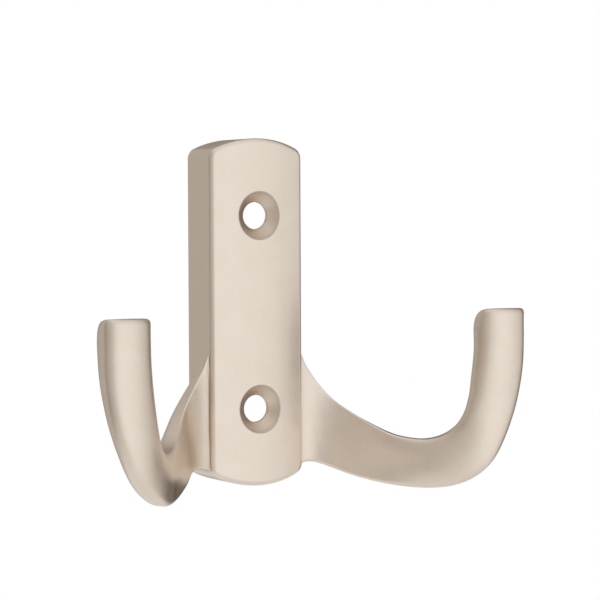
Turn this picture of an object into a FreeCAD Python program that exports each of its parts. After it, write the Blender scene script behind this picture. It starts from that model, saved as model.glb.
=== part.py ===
import FreeCAD, Part
import math
import os
from collections import namedtuple

# Frame: origin midway between the two screw holes, on the wall.
# X runs to the right, Y into the wall, Z up. All sizes are in millimetres.

# Back plate, a hollow shell that is open towards the wall
plate_width = 17.0
plate_height = 57.5
plate_edge_depth = 8.5
plate_crown = 1.1
plate_end_radius = 18.0
plate_corner_radius = 1.9
plate_front_rounding = 0.95
plate_wall = 2.0
plate_face_thickness = 2.4
cavity_corner_radius = 1.2
cavity_rounding = 0.8

# Two countersunk screw holes, one above the other
hole_spacing = 32.0
hole_diameter = 4.5
countersink_diameter = 8.0
countersink_angle = 90.0
countersink_rim_rounding = 0.2

# Hook in front view: both of its edges are lowest at the same distance from the middle
low_x = 22.9

# Throat edge, on the inner side of the bend
throat_low_z = -21.1
throat_root_z = -6.8
throat_arm_angle = 37.0
throat_arm_radius = 6.5
throat_bend_radius = 4.8
throat_bend_angle = 72.0
throat_rise_radius = 49.0
tip_height = 21.7

# Outer edge, a face width below the throat
face_width = 8.0
outer_arch_radius = 5.0
outer_arch_reach = 1.8
outer_arm_radius = 18.5
outer_bend_radius = 11.5
outer_bend_angle = 62.0
outer_rise_radius = 38.0

# Hook seen from above: how far both edges of its front face stand out from the wall
root_front = 7.6
throat_flare_radius = 7.5
throat_run_angle = 55.4
throat_turn_radius = 12.0
throat_front = 33.4
throat_front_angle = 0.0
outer_flare_radius = 5.0
outer_run_angle = 52.4
outer_turn_radius = 18.0
outer_front = 32.2
outer_front_angle = 10.0

# Hook section: crowned in front, and turned to the outside where the hook bends
root_thickness = 1.0
root_taper = 3.0
arm_thickness = 3.1
throat_swell = 0.5
throat_back_shift = 0.7
throat_shift_height = 0.4
tip_thickness = 4.6
arm_crown = 0.05
tip_crown = 0.9
crest_share = 0.4
crown_start_x = 16.0
crown_end_x = 25.0
section_turn = 27.0
turn_start_x = 10.0
turn_end_x = 29.0
ridge_rounding = 0.4
tip_ridge_rounding = 0.8
outer_rounding = 0.6
tip_outer_rounding = 1.4
back_rounding = 1.1
tip_inner_back_rounding = 2.0
tip_outer_back_rounding = 0.6
tip_top_rounding = 3.0
tip_edge_rounding = 0.6
tip_corner_share = 0.5
largest_rounding_share = 0.45

# Number of sections along each stretch of the hook
arm_sections = 6
bend_sections = 9
tip_sections = 5
rounding_sections = 3

# One cut across the hook, how far the bend and the tip have come there, and how far it stands in
Cut = namedtuple("Cut", "start end bent risen inset back_inset", defaults=(0.0, 0.0, 0.0, 0.0))


def vector(x, out, z):
    """A point from its distance right, out from the wall and up."""
    return FreeCAD.Vector(x, -out, z)


def straight(start, end):
    return Part.LineSegment(start, end).toShape()


def plate_outline(half_width, half_height, end_radius):
    """Closed outline on the wall: straight sides and arched ends."""
    rise = end_radius - math.sqrt(end_radius ** 2 - half_width ** 2)
    side_z = half_height - rise
    top = Part.Arc(
        vector(-half_width, 0, side_z), vector(0, 0, half_height), vector(half_width, 0, side_z)
    )
    bottom = Part.Arc(
        vector(half_width, 0, -side_z), vector(0, 0, -half_height), vector(-half_width, 0, -side_z)
    )
    right = straight(vector(half_width, 0, side_z), vector(half_width, 0, -side_z))
    left = straight(vector(-half_width, 0, -side_z), vector(-half_width, 0, side_z))
    return Part.Face(Part.Wire([top.toShape(), right, bottom.toShape(), left]))


def rounded_block(half_width, half_height, end_radius, corner_radius, depth):
    """The outline carried out from the wall, with its four corners rounded."""
    outline = plate_outline(half_width, half_height, end_radius)
    block = outline.extrude(vector(0, depth, 0))
    corners = [e for e in block.Edges if abs(e.tangentAt(e.FirstParameter).y) > 0.99]
    return block.makeFillet(corner_radius, corners)


def make_plate():
    """Plate with a front crowned across its width, hollow behind a face and a rim."""
    half_width = plate_width / 2
    half_height = plate_height / 2
    middle_depth = plate_edge_depth + plate_crown
    crown_radius = (half_width ** 2 + plate_crown ** 2) / (2 * plate_crown)
    block = rounded_block(
        half_width, half_height, plate_end_radius, plate_corner_radius, middle_depth
    )
    crown = Part.makeCylinder(
        crown_radius,
        2 * plate_height,
        vector(0, middle_depth - crown_radius, -plate_height),
        FreeCAD.Vector(0, 0, 1),
    )
    body = block.common(crown)
    rim = [e for e in body.Edges if e.BoundBox.YMax < -plate_edge_depth / 2]
    body = body.makeFillet(plate_front_rounding, rim)

    cavity_depth = middle_depth - plate_face_thickness
    cavity = rounded_block(
        half_width - plate_wall,
        half_height - plate_wall,
        plate_end_radius - plate_wall,
        cavity_corner_radius,
        cavity_depth,
    )
    floor = [e for e in cavity.Edges if e.BoundBox.YMax < -cavity_depth / 2]
    return body.cut(cavity.makeFillet(cavity_rounding, floor))


def lies_on_countersink_rim(edge):
    """True for the edges where a countersink breaks the crowned face."""
    box = edge.BoundBox
    centre_z = math.copysign(hole_spacing / 2, box.Center.z)
    near = abs(box.Center.z - centre_z) < countersink_diameter / 2
    wide = box.XMax > (hole_diameter + countersink_diameter) / 4
    inside = box.XMax < plate_width / 2 - plate_front_rounding
    return near and wide and inside and box.YMax < -plate_edge_depth


def cut_holes(body):
    """Drills the two screw holes and sinks their heads to the middle of the crowned face."""
    middle_depth = plate_edge_depth + plate_crown
    bore = hole_diameter / 2
    sink = countersink_diameter / 2
    slope = math.tan(math.radians(countersink_angle / 2))
    sink_depth = (sink - bore) / slope
    for side in (1, -1):
        centre_z = side * hole_spacing / 2
        drill = Part.makeCylinder(
            bore, middle_depth, vector(0, 0, centre_z), FreeCAD.Vector(0, -1, 0)
        )
        cone = Part.makeCone(
            sink + slope * plate_crown,
            bore,
            sink_depth + plate_crown,
            vector(0, middle_depth + plate_crown, centre_z),
            FreeCAD.Vector(0, 1, 0),
        )
        body = body.cut(drill).cut(cone)
    rims = [e for e in body.Edges if lies_on_countersink_rim(e)]
    return body.makeFillet(countersink_rim_rounding, rims)


def arc_by_heading(start, heading, end_heading, radius):
    """Front-view arc that turns left from one heading to another, as edge and end point."""
    def point(angle):
        along = radius * (math.sin(angle) - math.sin(heading))
        up = radius * (math.cos(heading) - math.cos(angle))
        return start + vector(along, 0, up)

    middle = (heading + end_heading) / 2
    end = point(end_heading)
    return Part.Arc(start, point(middle), end).toShape(), end


def arc_about(centre, start, end):
    """The shorter arc from start to end about a centre."""
    middle = (start + end) * 0.5 - centre
    middle = centre + middle * ((start - centre).Length / middle.Length)
    return Part.Arc(start, middle, end).toShape()


def bend_and_tip(low, bend_radius, bend_angle, rise_radius):
    """From the lowest point round the bend, and straight up past the top of the tip."""
    angle = math.radians(bend_angle)
    bend, bend_end = arc_by_heading(low, 0.0, angle, bend_radius)
    rise, rise_end = arc_by_heading(bend_end, angle, math.pi / 2, rise_radius)
    tip = straight(rise_end, vector(rise_end.x, 0, throat_low_z + 2 * tip_height))
    return [bend, rise, tip]


def throat_line():
    """Inner edge of the hook in front view, from inside the plate to above the tip."""
    low = vector(low_x, 0, throat_low_z)
    angle = math.radians(throat_arm_angle)
    arm_end = low + vector(
        -throat_arm_radius * math.sin(angle), 0, throat_arm_radius * (1 - math.cos(angle))
    )
    saddle = arc_by_heading(arm_end, -angle, 0.0, throat_arm_radius)[0]

    # One arc runs down from the plate's side and passes smoothly into the saddle.
    root = vector(plate_width / 2, 0, throat_root_z)
    chord = root - arm_end
    normal = vector(math.sin(angle), 0, math.cos(angle))
    centre = arm_end + normal * (chord.dot(chord) / (2 * chord.dot(normal)))
    lead = straight(vector(0, 0, throat_root_z), root)
    edges = [lead, arc_about(centre, root, arm_end), saddle]
    return Part.Wire(edges + bend_and_tip(low, throat_bend_radius, throat_bend_angle, throat_rise_radius))


def outer_line():
    """Outer edge of the hook in front view, from inside the plate to above the tip."""
    low = vector(low_x, 0, throat_low_z - face_width)

    # The long underside arc runs into the plate's side through a small arch.
    arm_centre = low + vector(0, 0, outer_arm_radius)
    arch_x = plate_width / 2 + outer_arch_reach
    reach = outer_arm_radius + outer_arch_radius
    drop = math.sqrt(reach ** 2 - (low_x - arch_x) ** 2)
    arch_centre = arm_centre + vector(arch_x - low_x, 0, -drop)
    touch = arm_centre + (arch_centre - arm_centre) * (outer_arm_radius / reach)
    fall = math.sqrt(outer_arch_radius ** 2 - outer_arch_reach ** 2)
    arch_start = arch_centre + vector(-outer_arch_reach, 0, fall)
    lead = straight(vector(0, 0, arch_start.z), arch_start)
    arch = arc_about(arch_centre, arch_start, touch)
    edges = [lead, arch, arc_about(arm_centre, touch, low)]
    return Part.Wire(edges + bend_and_tip(low, outer_bend_radius, outer_bend_angle, outer_rise_radius))


def tip_x(bend_radius, bend_angle, rise_radius):
    """Distance from the middle at which an edge of the tip stands upright."""
    turned = math.sin(math.radians(bend_angle))
    return low_x + bend_radius * turned + rise_radius * (1 - turned)


def depth_line(flare_radius, run_angle, turn_radius, front_x, front, front_angle):
    """How far out an edge of the front face stands, seen from above: flare, run, turn and front."""
    run = math.radians(run_angle)
    face = math.radians(front_angle)
    side = plate_width / 2

    def flare_point(angle):
        return vector(
            side + flare_radius * math.sin(angle),
            root_front + flare_radius * (1 - math.cos(angle)),
            0,
        )

    flare_end = flare_point(run)
    lead = straight(vector(0, root_front, 0), flare_point(0.0))
    flare = Part.Arc(flare_point(0.0), flare_point(run / 2), flare_end).toShape()

    # The run and the front meet at a corner, which an arc rounds off.
    run_slope = math.tan(run)
    face_slope = math.tan(face)
    rise = front + flare_end.y - face_slope * (front_x - flare_end.x)
    run_length = rise / (run_slope - face_slope)
    corner = flare_end + vector(run_length, run_length * run_slope, 0)
    run_way = vector(math.cos(run), math.sin(run), 0)
    front_way = vector(math.cos(face), math.sin(face), 0)
    tangent = turn_radius * math.tan((run - face) / 2)
    turn_start = corner - run_way * tangent
    turn_end = corner + front_way * tangent
    centre = turn_start + vector(math.sin(run), -math.cos(run), 0) * turn_radius
    edges = [lead, flare, straight(flare_end, turn_start), arc_about(centre, turn_start, turn_end)]
    edges.append(straight(turn_end, turn_end + front_way * front_x))
    return Part.Wire(edges)


def crossing(line, start, end):
    """The point where a line is crossed by the straight from start to end."""
    return line.distToShape(straight(start, end))[1][0][0]


def lifted(point, line):
    """A front-view point brought out from the wall to its place on the front face."""
    out = crossing(line, vector(point.x, 0, 0), vector(point.x, 2 * outer_front, 0))
    return vector(point.x, -out.y, point.z)


def smooth(value):
    """Eases from 0 to 1."""
    value = min(max(value, 0.0), 1.0)
    return value * value * (3 - 2 * value)


def round_off(radius, below_top):
    """How far a rounded top edge stands in at a given distance below the top."""
    if below_top >= radius:
        return 0.0
    return radius - math.sqrt(radius ** 2 - (radius - below_top) ** 2)


def cuts():
    """Front-view cuts across the hook: upright on the arm, a fan in the bend, level on the tip."""
    side = plate_width / 2
    top_z = throat_low_z + tip_height
    hub = vector(low_x, 0, throat_low_z + throat_bend_radius)
    reach = 2 * outer_rise_radius
    found = []

    # The first cut lies inside the plate's wall, and the next ones follow the arch at the root.
    arch = side + outer_arch_reach
    places = [side - plate_wall / 2, side, (side + arch) / 2, arch]
    places += [arch + (low_x - arch) * n / arm_sections for n in range(1, arm_sections)]
    for x in places:
        found.append(Cut(vector(x, 0, 0), vector(x, 0, -reach)))
    for n in range(bend_sections):
        share = n / (bend_sections - 1)
        angle = math.pi / 2 * (share - 1)
        far = hub + vector(reach * math.cos(angle), 0, reach * math.sin(angle))
        found.append(Cut(hub, far, share))

    # The end of the tip is rounded fully at the back and lightly all round.
    rounding_z = top_z - tip_top_rounding
    levels = [hub.z + (rounding_z - hub.z) * n / tip_sections for n in range(1, tip_sections + 1)]
    for radius in (tip_top_rounding, tip_edge_rounding):
        for n in range(1, rounding_sections + 1):
            levels.append(top_z - radius * (1 - math.sin(math.pi / 2 * n / rounding_sections)))
    levels.append(top_z - tip_edge_rounding)
    for z in sorted(set(levels)):
        rise = (z - hub.z) / (top_z - hub.z)
        inset = round_off(tip_edge_rounding, top_z - z)
        back_inset = round_off(tip_top_rounding, top_z - z)
        found.append(Cut(vector(low_x, 0, z), vector(reach, 0, z), 1.0, rise, inset, back_inset))
    return found


def toward(start, end, distance):
    return start + (end - start) * (distance / (end - start).Length)


def section(corners, crest, roundings):
    """Closed section in eight stretches: two points make a straight, three a rounded corner."""
    inner_front, outer_front, inner_back, outer_back = corners
    ridge, outer, inner_rear, outer_rear = roundings
    inner_limit = largest_rounding_share * (inner_back - inner_front).Length
    outer_limit = largest_rounding_share * (outer_back - outer_front).Length
    ridge = min(ridge, inner_limit)
    inner_rear = min(inner_rear, inner_limit)
    outer = min(outer, outer_limit)
    outer_rear = min(outer_rear, outer_limit)
    front_start = toward(inner_front, crest, ridge)
    front_end = toward(outer_front, crest, outer)
    outer_start = toward(outer_front, outer_back, outer)
    outer_end = toward(outer_back, outer_front, outer_rear)
    back_start = toward(outer_back, inner_back, outer_rear)
    back_end = toward(inner_back, outer_back, inner_rear)
    inner_start = toward(inner_back, inner_front, inner_rear)
    inner_end = toward(inner_front, inner_back, ridge)
    return [
        [front_start, crest, front_end],
        [front_end, outer_front, outer_start],
        [outer_start, outer_end],
        [outer_end, outer_back, back_start],
        [back_start, back_end],
        [back_end, inner_back, inner_start],
        [inner_start, inner_end],
        [inner_end, inner_front, front_start],
    ]


def section_at(cut, throat, outer, throat_depth, outer_depth):
    """The hook's section where a front-view cut crosses it."""
    inner_front = lifted(crossing(throat, cut.start, cut.end), throat_depth)
    outer_front_point = lifted(crossing(outer, cut.start, cut.end), outer_depth)
    share = (inner_front.x - turn_start_x) / (turn_end_x - turn_start_x)
    turned = math.sin(math.pi * min(max(share, 0.0), 1.0)) ** 2
    turn = math.radians(section_turn) * turned
    back = vector(math.sin(turn), -math.cos(turn), 0)
    across = (outer_front_point - inner_front).normalize()

    # The throat edge starts thin at the plate. Both edges grow thicker towards the tip.
    late = smooth(cut.risen)
    growth = tip_thickness - arm_thickness
    rooted = 1 - smooth((inner_front.x - plate_width / 2) / root_taper)
    inner_thickness = arm_thickness + throat_swell * turned + growth * late
    inner_thickness -= (arm_thickness - root_thickness) * rooted
    outer_thickness = arm_thickness + growth * smooth((cut.bent + cut.risen) / 2)
    inner_back = inner_front + back * (inner_thickness - cut.back_inset)
    shifted = smooth(2 * cut.bent - 1) * (1 - smooth(cut.risen / throat_shift_height))
    inner_back += vector(throat_back_shift * shifted, 0, 0)
    outer_back = outer_front_point + back * (outer_thickness - cut.back_inset)

    inner_front += (across + back) * cut.inset
    outer_front_point += (back - across) * cut.inset
    inner_back += across * (cut.inset + tip_corner_share * cut.back_inset)
    outer_back -= across * cut.inset
    crowned = smooth((inner_front.x - crown_start_x) / (crown_end_x - crown_start_x))
    bulge = arm_crown + (tip_crown - arm_crown) * crowned
    crest = inner_front + (outer_front_point - inner_front) * crest_share - back * (2 * bulge)
    roundings = (
        ridge_rounding + (tip_ridge_rounding - ridge_rounding) * smooth(cut.bent),
        outer_rounding + (tip_outer_rounding - outer_rounding) * smooth(cut.bent),
        back_rounding + (tip_inner_back_rounding - back_rounding) * late,
        back_rounding + (tip_outer_back_rounding - back_rounding) * late,
    )
    return section((inner_front, outer_front_point, inner_back, outer_back), crest, roundings)


def spacing(first, second):
    """Mean distance between matching points of two sections."""
    pairs = [(a, b) for one, two in zip(first, second) for a, b in zip(one, two)]
    return sum((a - b).Length for a, b in pairs) / len(pairs)


def skin_strip(stretches, places):
    """Smooth surface that carries one stretch of the section through all its places."""
    rails = []
    for points in zip(*stretches):
        rail = Part.BSplineCurve()
        rail.interpolate(Points=list(points), Parameters=places)
        rails.append(rail)
    count = len(rails)
    surface = Part.BSplineSurface()
    surface.buildFromPolesMultsKnots(
        [rail.getPoles() for rail in rails],
        [count, count],
        rails[0].getMultiplicities(),
        [0.0, 1.0],
        rails[0].getKnots(),
        False,
        False,
        count - 1,
        rails[0].Degree,
    )
    return surface.toShape()


def end_face(stretches):
    edges = []
    for points in stretches:
        curve = Part.BezierCurve()
        curve.setPoles(points)
        edges.append(curve.toShape())
    return Part.Face(Part.Wire(edges))


def make_arm():
    """One hook, skinned smoothly through its sections and closed at both ends."""
    inner_x = tip_x(throat_bend_radius, throat_bend_angle, throat_rise_radius)
    outer_x = tip_x(outer_bend_radius, outer_bend_angle, outer_rise_radius)
    throat_depth = depth_line(
        throat_flare_radius, throat_run_angle, throat_turn_radius,
        inner_x, throat_front, throat_front_angle,
    )
    outer_depth = depth_line(
        outer_flare_radius, outer_run_angle, outer_turn_radius,
        outer_x, outer_front, outer_front_angle,
    )
    throat = throat_line()
    outer = outer_line()
    sections = [section_at(cut, throat, outer, throat_depth, outer_depth) for cut in cuts()]
    places = [0.0]
    for first, second in zip(sections, sections[1:]):
        places.append(places[-1] + spacing(first, second))
    faces = [skin_strip(stretches, places) for stretches in zip(*sections)]
    shell = Part.makeShell(faces + [end_face(sections[0]), end_face(sections[-1])])
    shell.sewShape()
    return Part.makeSolid(shell)


plate = cut_holes(make_plate())
arm = make_arm()
other_arm = arm.mirror(FreeCAD.Vector(0, 0, 0), FreeCAD.Vector(1, 0, 0))
hook_body = plate.fuse([arm, other_arm]).removeSplitter()
print("valid", hook_body.isValid(), "solids", len(hook_body.Solids), "volume", hook_body.Volume)
os.makedirs("parts", exist_ok=True)
hook_body.exportStep("parts/hook_body.step")
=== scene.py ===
# %% [markdown]
# # A satin nickel double robe hook
# The object is one zinc casting: a narrow back plate with two countersunk screw holes, and a
# flat hook that sweeps out and up on each side. The casting is plated with satin nickel that
# has a warm champagne tone. The imported model already holds the exact form, so this lesson is
# about showing that form well: even shading, three finishes, soft light and a matching camera.

# %% Load the imported model
import math

import bmesh
import bpy
from mathutils import Matrix, Vector


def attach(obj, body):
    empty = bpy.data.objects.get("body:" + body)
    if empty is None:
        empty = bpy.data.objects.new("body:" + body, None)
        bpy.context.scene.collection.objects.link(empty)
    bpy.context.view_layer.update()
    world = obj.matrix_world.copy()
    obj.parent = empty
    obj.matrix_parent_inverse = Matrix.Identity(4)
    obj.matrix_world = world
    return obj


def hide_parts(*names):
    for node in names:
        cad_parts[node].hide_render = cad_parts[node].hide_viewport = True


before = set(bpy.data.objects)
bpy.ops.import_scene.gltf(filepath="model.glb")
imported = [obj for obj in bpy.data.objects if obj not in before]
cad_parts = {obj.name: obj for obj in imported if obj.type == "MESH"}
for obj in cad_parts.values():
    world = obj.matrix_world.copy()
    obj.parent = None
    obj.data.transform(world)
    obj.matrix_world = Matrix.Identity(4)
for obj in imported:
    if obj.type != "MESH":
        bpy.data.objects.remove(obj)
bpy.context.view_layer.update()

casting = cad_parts["hook_body"]

# %% [markdown]
# ## The casting as one smooth skin
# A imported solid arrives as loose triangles, and loose triangles shade as small flats. A copy is
# merged at its shared corners, so that light runs over it without steps. Edges that really are
# sharp, such as the rim round the hollow back, are marked by their angle, and the weighted
# normals modifier keeps the big faces calm beside the small roundings.

# %% Merge a copy of the casting and mark its true edges
SAME_POINT = 1e-7
SLIVER = 1e-8
SHARP_ANGLE = math.radians(28)


def merged_copy(source, name):
    """A new object with the source's shape, its corners joined and its faces smooth."""
    build = bmesh.new()
    build.from_mesh(source.data)
    bmesh.ops.remove_doubles(build, verts=build.verts, dist=SAME_POINT)
    bmesh.ops.dissolve_degenerate(build, edges=build.edges, dist=SLIVER)
    for face in build.faces:
        face.smooth = True
    mesh = bpy.data.meshes.new(name)
    build.to_mesh(mesh)
    build.free()
    mesh.set_sharp_from_angle(angle=SHARP_ANGLE)
    made = bpy.data.objects.new(name, mesh)
    bpy.context.scene.collection.objects.link(made)
    return made


rough_copy = merged_copy(casting, "merged_casting")
print("merged corners:", len(rough_copy.data.vertices), "faces:", len(rough_copy.data.polygons))

# %% Even out the shading and keep the result as a plain mesh
BIG_FACE_WEIGHT = 50
even = rough_copy.modifiers.new("even shading", "WEIGHTED_NORMAL")
even.keep_sharp = True
even.weight = BIG_FACE_WEIGHT
evaluated = rough_copy.evaluated_get(bpy.context.evaluated_depsgraph_get())
hook = bpy.data.objects.new("robe_hook", bpy.data.meshes.new_from_object(evaluated))
hook.data.name = "robe_hook"
bpy.context.scene.collection.objects.link(hook)
bpy.data.objects.remove(rough_copy)
print("robe_hook edges:", len(hook.data.edges))

# %% [markdown]
# ## Flat faces that look flat
# The plate's sides and its back rim are flat on the real casting. They meet small roundings, and
# smooth normals would bend the light on the flats towards those. More faces would help, but the
# form is fixed, so the normals are set one by one: a point of a flat keeps the flat's direction,
# and the rounding beside it starts from that direction where the two nearly agree.

# %% Keep the plate's sides and back flat, and lead the roundings into them
STRAIGHT = 0.999999
LEADS_IN = math.cos(math.radians(20))


def keep_flats(mesh, normals):
    """Straight normals on the flat faces, and on corners beside them that nearly agree."""
    flats = [face for face in mesh.polygons if max(abs(face.normal.x), face.normal.y) > STRAIGHT]
    straight = {point: face.normal.copy() for face in flats for point in face.vertices}
    for corner, loop in enumerate(mesh.loops):
        flat = straight.get(loop.vertex_index)
        if flat and normals[corner].dot(flat) > LEADS_IN:
            normals[corner] = flat
    for face in flats:
        for corner in face.loop_indices:
            normals[corner] = face.normal.copy()
    return len(flats)


normals = [corner.vector.copy() for corner in hook.data.corner_normals]
print("flat faces:", keep_flats(hook.data, normals))
hook.data.normals_split_custom_set(normals)

# %% [markdown]
# ## Grain of the plating
# Satin nickel is bright metal with a very fine matte grain, and the plating bath leaves faint
# clouds in its tone. All finishes of this hook share that, so it is one node group: it gives a
# tone, which is the clouds with some grain mixed in, for colour and roughness, and the bare
# grain for bump. It reads Object coordinates, so the grain stays on the metal from every side.

# %% Shader group: clouds and grain
def noise(tree, vector, scale, detail, roughness):
    """A noise texture on the given coordinates, with its scale taken from a socket."""
    node = tree.nodes.new("ShaderNodeTexNoise")
    node.inputs["Detail"].default_value = detail
    node.inputs["Roughness"].default_value = roughness
    tree.links.new(vector, node.inputs["Vector"])
    tree.links.new(scale, node.inputs["Scale"])
    return node.outputs["Fac"]


def make_plating_grain():
    """Node group with a tone of clouds and grain, and the grain alone."""
    group = bpy.data.node_groups.new("plating grain", "ShaderNodeTree")
    for name in ("Cloud scale", "Grain scale", "Grain share"):
        group.interface.new_socket(name, in_out="INPUT", socket_type="NodeSocketFloat")
    for name in ("Tone", "Grain"):
        group.interface.new_socket(name, in_out="OUTPUT", socket_type="NodeSocketFloat")
    start = group.nodes.new("NodeGroupInput")
    end = group.nodes.new("NodeGroupOutput")
    place = group.nodes.new("ShaderNodeTexCoord").outputs["Object"]
    cloud = noise(group, place, start.outputs["Cloud scale"], detail=4.0, roughness=0.6)
    grain = noise(group, place, start.outputs["Grain scale"], detail=2.0, roughness=0.7)
    tone = group.nodes.new("ShaderNodeMix")
    group.links.new(start.outputs["Grain share"], tone.inputs["Factor"])
    group.links.new(cloud, tone.inputs["A"])
    group.links.new(grain, tone.inputs["B"])
    group.links.new(tone.outputs["Result"], end.inputs["Tone"])
    group.links.new(grain, end.inputs["Grain"])
    return group


plating_grain = make_plating_grain()
sockets = plating_grain.interface.items_tree
print("group outputs:", [socket.name for socket in sockets if socket.in_out == "OUTPUT"])

# %% [markdown]
# ## Three finishes
# The outside is satin nickel. The countersinks were turned with a cutter before plating, so they
# keep faint rings round each hole. The hollow behind the plate was never polished, so there the
# plating lies duller on the rough casting. All three are one metal with different values, made
# by one function.

# %% Helpers that turn a value into a colour, another value or a bump
NOISE_LOW = 0.3
NOISE_HIGH = 0.7


def ramp(tree, value, low, high):
    """A noise value turned into a colour between two colours."""
    node = tree.nodes.new("ShaderNodeValToRGB")
    node.color_ramp.elements[0].position = NOISE_LOW
    node.color_ramp.elements[1].position = NOISE_HIGH
    node.color_ramp.elements[0].color = (*low, 1.0)
    node.color_ramp.elements[1].color = (*high, 1.0)
    tree.links.new(value, node.inputs["Fac"])
    return node.outputs["Color"]


def stretch(tree, value, start, end, low=0.0, high=1.0):
    """A value that goes from low to high while the given one goes from start to end."""
    node = tree.nodes.new("ShaderNodeMapRange")
    node.inputs["From Min"].default_value = start
    node.inputs["From Max"].default_value = end
    node.inputs["To Min"].default_value = low
    node.inputs["To Max"].default_value = high
    tree.links.new(value, node.inputs["Value"])
    return node.outputs["Result"]


def bump(tree, height, distance):
    """A bump node for a height, at full strength, with its distance in metres."""
    node = tree.nodes.new("ShaderNodeBump")
    node.inputs["Strength"].default_value = 1.0
    node.inputs["Distance"].default_value = distance
    tree.links.new(height, node.inputs["Height"])
    return node


print("noise is used from", NOISE_LOW, "to", NOISE_HIGH)

# %% Metal with clouds in its tone and grain in its surface
CLOUD_SCALE = 260.0
GRAIN_SHARE = 0.45
FINE_GRAIN = dict(grain_scale=3200.0, grain_height=2.0e-6)
COARSE_GRAIN = dict(grain_scale=1500.0, grain_height=1.5e-5)


def metal(name, dark, light, smoothest, roughest, grain_scale, grain_height):
    """Nickel-plated metal and its bump node. Colours are linear, the grain height in metres."""
    material = bpy.data.materials.new(name)
    material.use_nodes = True
    tree = material.node_tree
    shader = tree.nodes["Principled BSDF"]
    shader.inputs["Metallic"].default_value = 1.0
    grain = tree.nodes.new("ShaderNodeGroup")
    grain.node_tree = plating_grain
    grain.inputs["Cloud scale"].default_value = CLOUD_SCALE
    grain.inputs["Grain scale"].default_value = grain_scale
    grain.inputs["Grain share"].default_value = GRAIN_SHARE
    tone = grain.outputs["Tone"]
    roughness = stretch(tree, tone, NOISE_LOW, NOISE_HIGH, smoothest, roughest)
    tree.links.new(ramp(tree, tone, dark, light), shader.inputs["Base Color"])
    tree.links.new(roughness, shader.inputs["Roughness"])
    surface = bump(tree, grain.outputs["Grain"], grain_height)
    tree.links.new(surface.outputs["Normal"], shader.inputs["Normal"])
    return material, surface


satin_nickel, satin_surface = metal(
    "satin_nickel", dark=(0.765, 0.676, 0.586), light=(0.835, 0.748, 0.656),
    smoothest=0.27, roughest=0.38, **FINE_GRAIN,
)
dull_hollow, _ = metal(
    "dull_hollow", dark=(0.50, 0.45, 0.40), light=(0.60, 0.54, 0.48),
    smoothest=0.50, roughest=0.62, **COARSE_GRAIN,
)
print("finishes so far:", satin_nickel.name, dull_hollow.name)

# %% [markdown]
# ## Edges softened by tumbling
# Castings like this are tumbled before plating, which takes the crispness off the far edges of
# the hooks, while the corners at the plate stay crisp. The outline hardly changes by it, so no
# point is moved. A Bevel node averages the normals within a radius, and that radius grows from
# nothing near the plate to its full value at the bends.

# %% Softer edges towards the tips
CRISP_TO = 0.016
SOFT_FROM = 0.029
SOFT_RADIUS = 0.0021
SHADING_SAMPLES = 8


def math_node(tree, operation, *values):
    """A math node fed with numbers or sockets."""
    node = tree.nodes.new("ShaderNodeMath")
    node.operation = operation
    for socket, value in zip(node.inputs, values):
        if isinstance(value, (int, float)):
            socket.default_value = value
        else:
            tree.links.new(value, socket)
    return node.outputs["Value"]


def place_axes(tree):
    """The Object coordinates of the surface, split into X, Y and Z."""
    axes = tree.nodes.new("ShaderNodeSeparateXYZ")
    place = tree.nodes.new("ShaderNodeTexCoord")
    tree.links.new(place.outputs["Object"], axes.inputs["Vector"])
    return axes.outputs


tree = satin_nickel.node_tree
from_middle = math_node(tree, "ABSOLUTE", place_axes(tree)["X"])
softness = stretch(tree, from_middle, CRISP_TO, SOFT_FROM, high=SOFT_RADIUS)
rolled = tree.nodes.new("ShaderNodeBevel")
rolled.samples = SHADING_SAMPLES
tree.links.new(softness, rolled.inputs["Radius"])
tree.links.new(rolled.outputs["Normal"], satin_surface.inputs["Normal"])
print("soft radius at the tips in mm:", SOFT_RADIUS * 1000)

# %% [markdown]
# ## Darker film in the inside corners
# Where the hooks grow out of the plate, shade is painted into the colour: a brown tint that
# draws a thin dark line beside the plate's front edge. An Ambient Occlusion node with a short
# reach finds those corners by itself, from the shape alone.

# %% Brown painted shade in the inside corners
CORNER_REACH = 0.0014
OPEN_CORNER = 0.85
TIGHT_CORNER = 0.35
CORNER_SHADE_COLOUR = (0.40, 0.31, 0.235, 1.0)


def tint(tree, shader, mask, colour):
    """Blend a colour over what feeds the shader's base colour, where the mask is up."""
    blend = tree.nodes.new("ShaderNodeMix")
    blend.data_type = "RGBA"
    blend.inputs["B"].default_value = colour
    tree.links.new(shader.inputs["Base Color"].links[0].from_socket, blend.inputs["A"])
    tree.links.new(mask, blend.inputs["Factor"])
    tree.links.new(blend.outputs["Result"], shader.inputs["Base Color"])


hidden = tree.nodes.new("ShaderNodeAmbientOcclusion")
hidden.samples = SHADING_SAMPLES
hidden.only_local = True
hidden.inputs["Distance"].default_value = CORNER_REACH
# painted shade: the base colour turns brown where the short-reach occlusion finds a tight corner
corner_shade = stretch(tree, hidden.outputs["AO"], OPEN_CORNER, TIGHT_CORNER)
tint(tree, tree.nodes["Principled BSDF"], corner_shade, CORNER_SHADE_COLOUR)
print("corner reach in mm:", CORNER_REACH * 1000)

# %% [markdown]
# ## Turned countersinks
# A cutter leaves rings that are all the same distance apart. The distance of each point from the
# nearer hole's axis, run through a sine, gives those rings as bump height. The holes lie one
# above the other, so taking the absolute height folds both onto one axis. The same distance
# paints light onto the cone towards the hole, and painted shade as a darker line under the rim.

# %% Rings round the screw holes
HOLE_Z = 0.016
RING_SPACING = 0.00030
RING_HEIGHT = 5.0e-6


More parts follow.
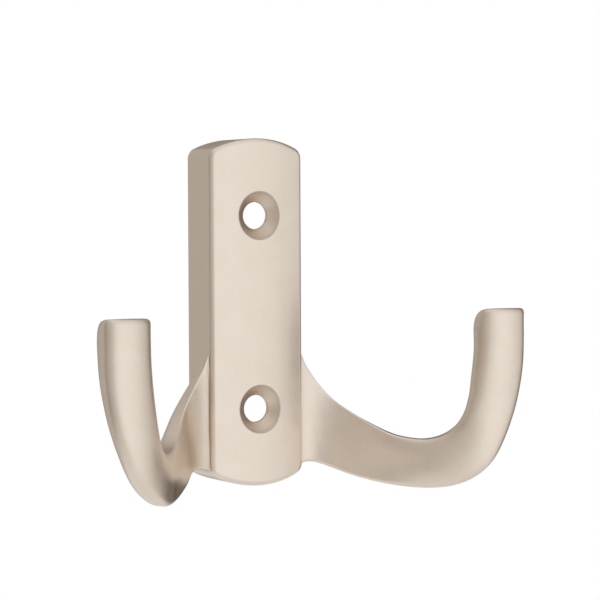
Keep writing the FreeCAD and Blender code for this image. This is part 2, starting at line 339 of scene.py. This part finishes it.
def distance_from_hole(tree):
    """How far the surface is from the axis of the nearer screw hole."""
    axes = place_axes(tree)
    up = math_node(tree, "SUBTRACT", math_node(tree, "ABSOLUTE", axes["Z"]), HOLE_Z)
    up_squared = math_node(tree, "MULTIPLY", up, up)
    across_squared = math_node(tree, "MULTIPLY", axes["X"], axes["X"])
    return math_node(tree, "SQRT", math_node(tree, "ADD", across_squared, up_squared))


turned_sink, sink_surface = metal(
    "turned_sink", dark=(0.655, 0.558, 0.472), light=(0.715, 0.618, 0.528),
    smoothest=0.30, roughest=0.38, **FINE_GRAIN,
)
tree = turned_sink.node_tree
radius = distance_from_hole(tree)
rings = math_node(tree, "SINE", math_node(tree, "MULTIPLY", radius, 2 * math.pi / RING_SPACING))
turned = bump(tree, rings, RING_HEIGHT)
tree.links.new(sink_surface.outputs["Normal"], turned.inputs["Normal"])
shader = tree.nodes["Principled BSDF"]
tree.links.new(turned.outputs["Normal"], shader.inputs["Normal"])
print("ring spacing in mm:", RING_SPACING * 1000)

# %% Painted light towards the hole, and a painted shade line under the rim
PAINTED_LIGHT_FULL = 0.0025
PAINTED_LIGHT_GONE = 0.0036
PAINTED_LIGHT_COLOUR = (0.84, 0.735, 0.63, 1.0)
RIM_FROM = 0.0034
RIM_FULL = 0.0038
RIM_SHARE = 0.55
RIM_SHADE_COLOUR = (0.40, 0.33, 0.27, 1.0)
# painted light: the cone's colour is lightened towards the hole
tint(tree, shader, stretch(tree, radius, PAINTED_LIGHT_GONE, PAINTED_LIGHT_FULL), PAINTED_LIGHT_COLOUR)
# painted shade: a darker line is painted under the rim
tint(tree, shader, stretch(tree, radius, RIM_FROM, RIM_FULL, high=RIM_SHARE), RIM_SHADE_COLOUR)
print("rim line from", RIM_FROM * 1000, "mm")

# %% Painted shade in the grooves, a little darker than the ridges between them
RIDGE = 1.0
GROOVE = -1.0
GROOVE_SHARE = 0.55
GROOVE_SHADE_COLOUR = (0.62, 0.52, 0.43, 1.0)
# painted shade: the grooves of the rings are darkened against the ridges
tint(tree, shader, stretch(tree, rings, RIDGE, GROOVE, high=GROOVE_SHARE), GROOVE_SHADE_COLOUR)
print("groove share:", GROOVE_SHARE)

# %% [markdown]
# ## Each finish in its place
# The three finishes meet at edges of the casting, so a face's own middle tells which one it gets:
# close to a hole's axis it is countersink, inside the plate's walls it is hollow, and all else is
# the satin outside. Material slots on one mesh keep the hook a single piece.

# %% Give each face its finish by where it lies
SINK_RADIUS = 0.00405
SINK_BACK_Y = -0.00715
HOLLOW_DEPTH = 0.0073
HOLLOW_HALF_WIDTH = 0.00655
HOLLOW_HALF_HEIGHT = 0.02680
BACK_RIM_Y = -1e-5
SATIN, TURNED, DULL = range(3)
for finish in (satin_nickel, turned_sink, dull_hollow):
    hook.data.materials.append(finish)
for face in hook.data.polygons:
    x, y, z = face.center
    in_sink = math.hypot(x, abs(z) - HOLE_Z) < SINK_RADIUS and y < SINK_BACK_Y
    within_walls = abs(x) < HOLLOW_HALF_WIDTH and abs(z) < HOLLOW_HALF_HEIGHT
    in_hollow = within_walls and -HOLLOW_DEPTH < y < BACK_RIM_Y
    face.material_index = TURNED if in_sink else DULL if in_hollow else SATIN
finishes = [face.material_index for face in hook.data.polygons]
counts = [finishes.count(finish) for finish in (SATIN, TURNED, DULL)]
print("faces with satin, turned and dull finish:", counts)

# %% [markdown]
# ## The photograph's camera
# The view is nearly level, a little above the hook, and from the left, with a long lens. The two
# holes and the plate's edges were used to find the turn and the lens, so the picture lines up.

# %% Camera
SENSOR_WIDTH = 36.0
LENS_PIXELS = 2369.0
FRAME_PIXELS = 600.0
NEAREST = 0.01
TURN = math.radians(-28.55)
TILT = math.radians(2.16)
ROLL = math.radians(-0.26)
AIM = Vector((0.00996, -0.005, 0.00171))
DISTANCE = 0.4


def make_camera():
    """A camera that looks at the aim point from the fitted direction."""
    data = bpy.data.cameras.new("camera")
    data.sensor_width = SENSOR_WIDTH
    data.lens = LENS_PIXELS / FRAME_PIXELS * SENSOR_WIDTH
    data.clip_start = NEAREST
    back = Vector((
        math.sin(TURN) * math.cos(TILT), -math.cos(TURN) * math.cos(TILT), math.sin(TILT)
    ))
    right = (-back).cross(Vector((0, 0, 1))).normalized()
    top = right.cross(-back)
    rolled_right = right * math.cos(ROLL) + top * math.sin(ROLL)
    rolled_top = top * math.cos(ROLL) - right * math.sin(ROLL)
    turn = Matrix((rolled_right, rolled_top, back)).transposed().to_4x4()
    camera = bpy.data.objects.new("camera", data)
    camera.matrix_world = Matrix.Translation(AIM + back * DISTANCE) @ turn
    bpy.context.scene.collection.objects.link(camera)
    bpy.context.scene.camera = camera
    return camera


camera = make_camera()
print("camera at", [round(v, 4) for v in camera.matrix_world.translation])

# %% [markdown]
# ## A soft studio
# Metal shows its surroundings more than its own colour. The room here is a soft ring of light:
# brightest in front, warmer and dimmer on both sides, darkest at the back right, and with a
# narrow dim gap at the back left, which together give the hooks their modelling. Above and
# below, the ring melts into one even tone. The camera itself sees only plain white, as in a
# catalogue picture. Lamps could do this too, but a ring has no hard edges to mirror.

# %% Light of the room by direction
LIGHT_RING = [
    (-180, 0.50), (-148, 0.57), (-128, 0.26), (-106, 0.52), (-80, 0.54), (-50, 0.64), (-30, 0.84),
    (-6, 1.02), (18, 1.00), (40, 0.93), (56, 0.78), (75, 0.69), (92, 0.36), (114, 0.14),
    (140, 0.03), (155, 0.22), (180, 0.50),
]


def lamp_colour(brightness):
    """Soft light of a brightness: neutral where it is full, and warmer the dimmer it is."""
    return (brightness, brightness ** 1.1, brightness ** 1.2, 1.0)


def world_ring(tree, way):
    """A colour by the direction round the upright axis, with 0 degrees in front."""
    front = math_node(tree, "MULTIPLY", way.outputs["Y"], -1.0)
    turn = math_node(tree, "ARCTAN2", way.outputs["X"], front)
    share = math_node(tree, "ADD", math_node(tree, "DIVIDE", turn, 2 * math.pi), 0.5)
    ring = tree.nodes.new("ShaderNodeValToRGB")
    stops = ring.color_ramp.elements
    while len(stops) < len(LIGHT_RING):
        stops.new(1.0)
    for stop, (angle, brightness) in zip(stops, LIGHT_RING):
        stop.position = (angle + 180) / 360
        stop.color = lamp_colour(brightness)
    tree.links.new(share, ring.inputs["Fac"])
    return ring.outputs["Color"]


print("light stops:", len(LIGHT_RING))

# %% The room: the ring, melted into one tone above and below
POLE_LIGHT = 0.86
STEEP_FROM = 0.5
STEEP_FULL = 0.98
WHITE = (1.0, 1.0, 1.0, 1.0)


def room_light(tree):
    """The ring's colour, and the pole's where the direction is steep."""
    way = tree.nodes.new("ShaderNodeSeparateXYZ")
    place = tree.nodes.new("ShaderNodeTexCoord")
    tree.links.new(place.outputs["Generated"], way.inputs["Vector"])
    steep = tree.nodes.new("ShaderNodeMapRange")
    steep.interpolation_type = "SMOOTHSTEP"
    steep.inputs["From Min"].default_value = STEEP_FROM
    steep.inputs["From Max"].default_value = STEEP_FULL
    tree.links.new(math_node(tree, "ABSOLUTE", way.outputs["Z"]), steep.inputs["Value"])
    melt = tree.nodes.new("ShaderNodeMix")
    melt.data_type = "RGBA"
    melt.inputs["B"].default_value = lamp_colour(POLE_LIGHT)
    tree.links.new(steep.outputs["Result"], melt.inputs["Factor"])
    tree.links.new(world_ring(tree, way), melt.inputs["A"])
    return melt.outputs["Result"]


def make_room():
    """A world that is lit by direction, and plain white where the camera sees it."""
    world = bpy.data.worlds.new("studio")
    world.use_nodes = True
    tree = world.node_tree
    lit = tree.nodes["Background"]
    plain = tree.nodes.new("ShaderNodeBackground")
    plain.inputs["Color"].default_value = WHITE
    path = tree.nodes.new("ShaderNodeLightPath")
    mix = tree.nodes.new("ShaderNodeMixShader")
    tree.links.new(room_light(tree), lit.inputs["Color"])
    tree.links.new(path.outputs["Is Camera Ray"], mix.inputs["Fac"])
    tree.links.new(lit.outputs["Background"], mix.inputs[1])
    tree.links.new(plain.outputs["Background"], mix.inputs[2])
    tree.links.new(mix.outputs["Shader"], tree.nodes["World Output"].inputs["Surface"])
    bpy.context.scene.world = world
    return world


print("room:", make_room().name)

# %% [markdown]
# ## A floor of white paper
# The hook hangs well above a round sheet of white paper. A real sheet would need lamps and would
# catch a shadow, so this one glows evenly by itself. The metal gets a little less light from it
# than the camera sees, because a full white would flatten the undersides of the hooks.

# %% White paper that glows
FLOOR_LIGHT = 0.82
BLACK = (0.0, 0.0, 0.0, 1.0)


def make_paper():
    """Paper that is white to the camera and a little dimmer to the metal."""
    paper = bpy.data.materials.new("white_paper")
    paper.use_nodes = True
    tree = paper.node_tree
    shader = tree.nodes["Principled BSDF"]
    shader.inputs["Base Color"].default_value = BLACK
    shader.inputs["Specular IOR Level"].default_value = 0.0
    shader.inputs["Emission Strength"].default_value = 1.0
    glow = tree.nodes.new("ShaderNodeMix")
    glow.data_type = "RGBA"
    glow.inputs["A"].default_value = lamp_colour(FLOOR_LIGHT)
    glow.inputs["B"].default_value = WHITE
    path = tree.nodes.new("ShaderNodeLightPath")
    tree.links.new(path.outputs["Is Camera Ray"], glow.inputs["Factor"])
    tree.links.new(glow.outputs["Result"], shader.inputs["Emission Color"])
    return paper


paper = make_paper()
print("paper light on the metal:", FLOOR_LIGHT)

# %% Plain pale floor, well below the hook
FLOOR_Z = -0.09
FLOOR_RADIUS = 0.14
FLOOR_SIDES = 96


def make_floor():
    """A flat round sheet of the paper."""
    build = bmesh.new()
    bmesh.ops.create_circle(build, cap_ends=True, segments=FLOOR_SIDES, radius=FLOOR_RADIUS)
    bmesh.ops.translate(build, verts=build.verts, vec=(0, 0, FLOOR_Z))
    mesh = bpy.data.meshes.new("floor")
    build.to_mesh(mesh)
    build.free()
    mesh.materials.append(paper)
    floor = bpy.data.objects.new("floor", mesh)
    bpy.context.scene.collection.objects.link(floor)
    return floor


floor = make_floor()
bpy.context.scene.view_settings.view_transform = "Standard"
print("floor at", FLOOR_Z)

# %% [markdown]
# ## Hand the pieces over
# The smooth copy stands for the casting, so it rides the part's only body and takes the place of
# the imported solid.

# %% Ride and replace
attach(hook, "root")
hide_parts("hook_body")
bpy.context.view_layer.update()
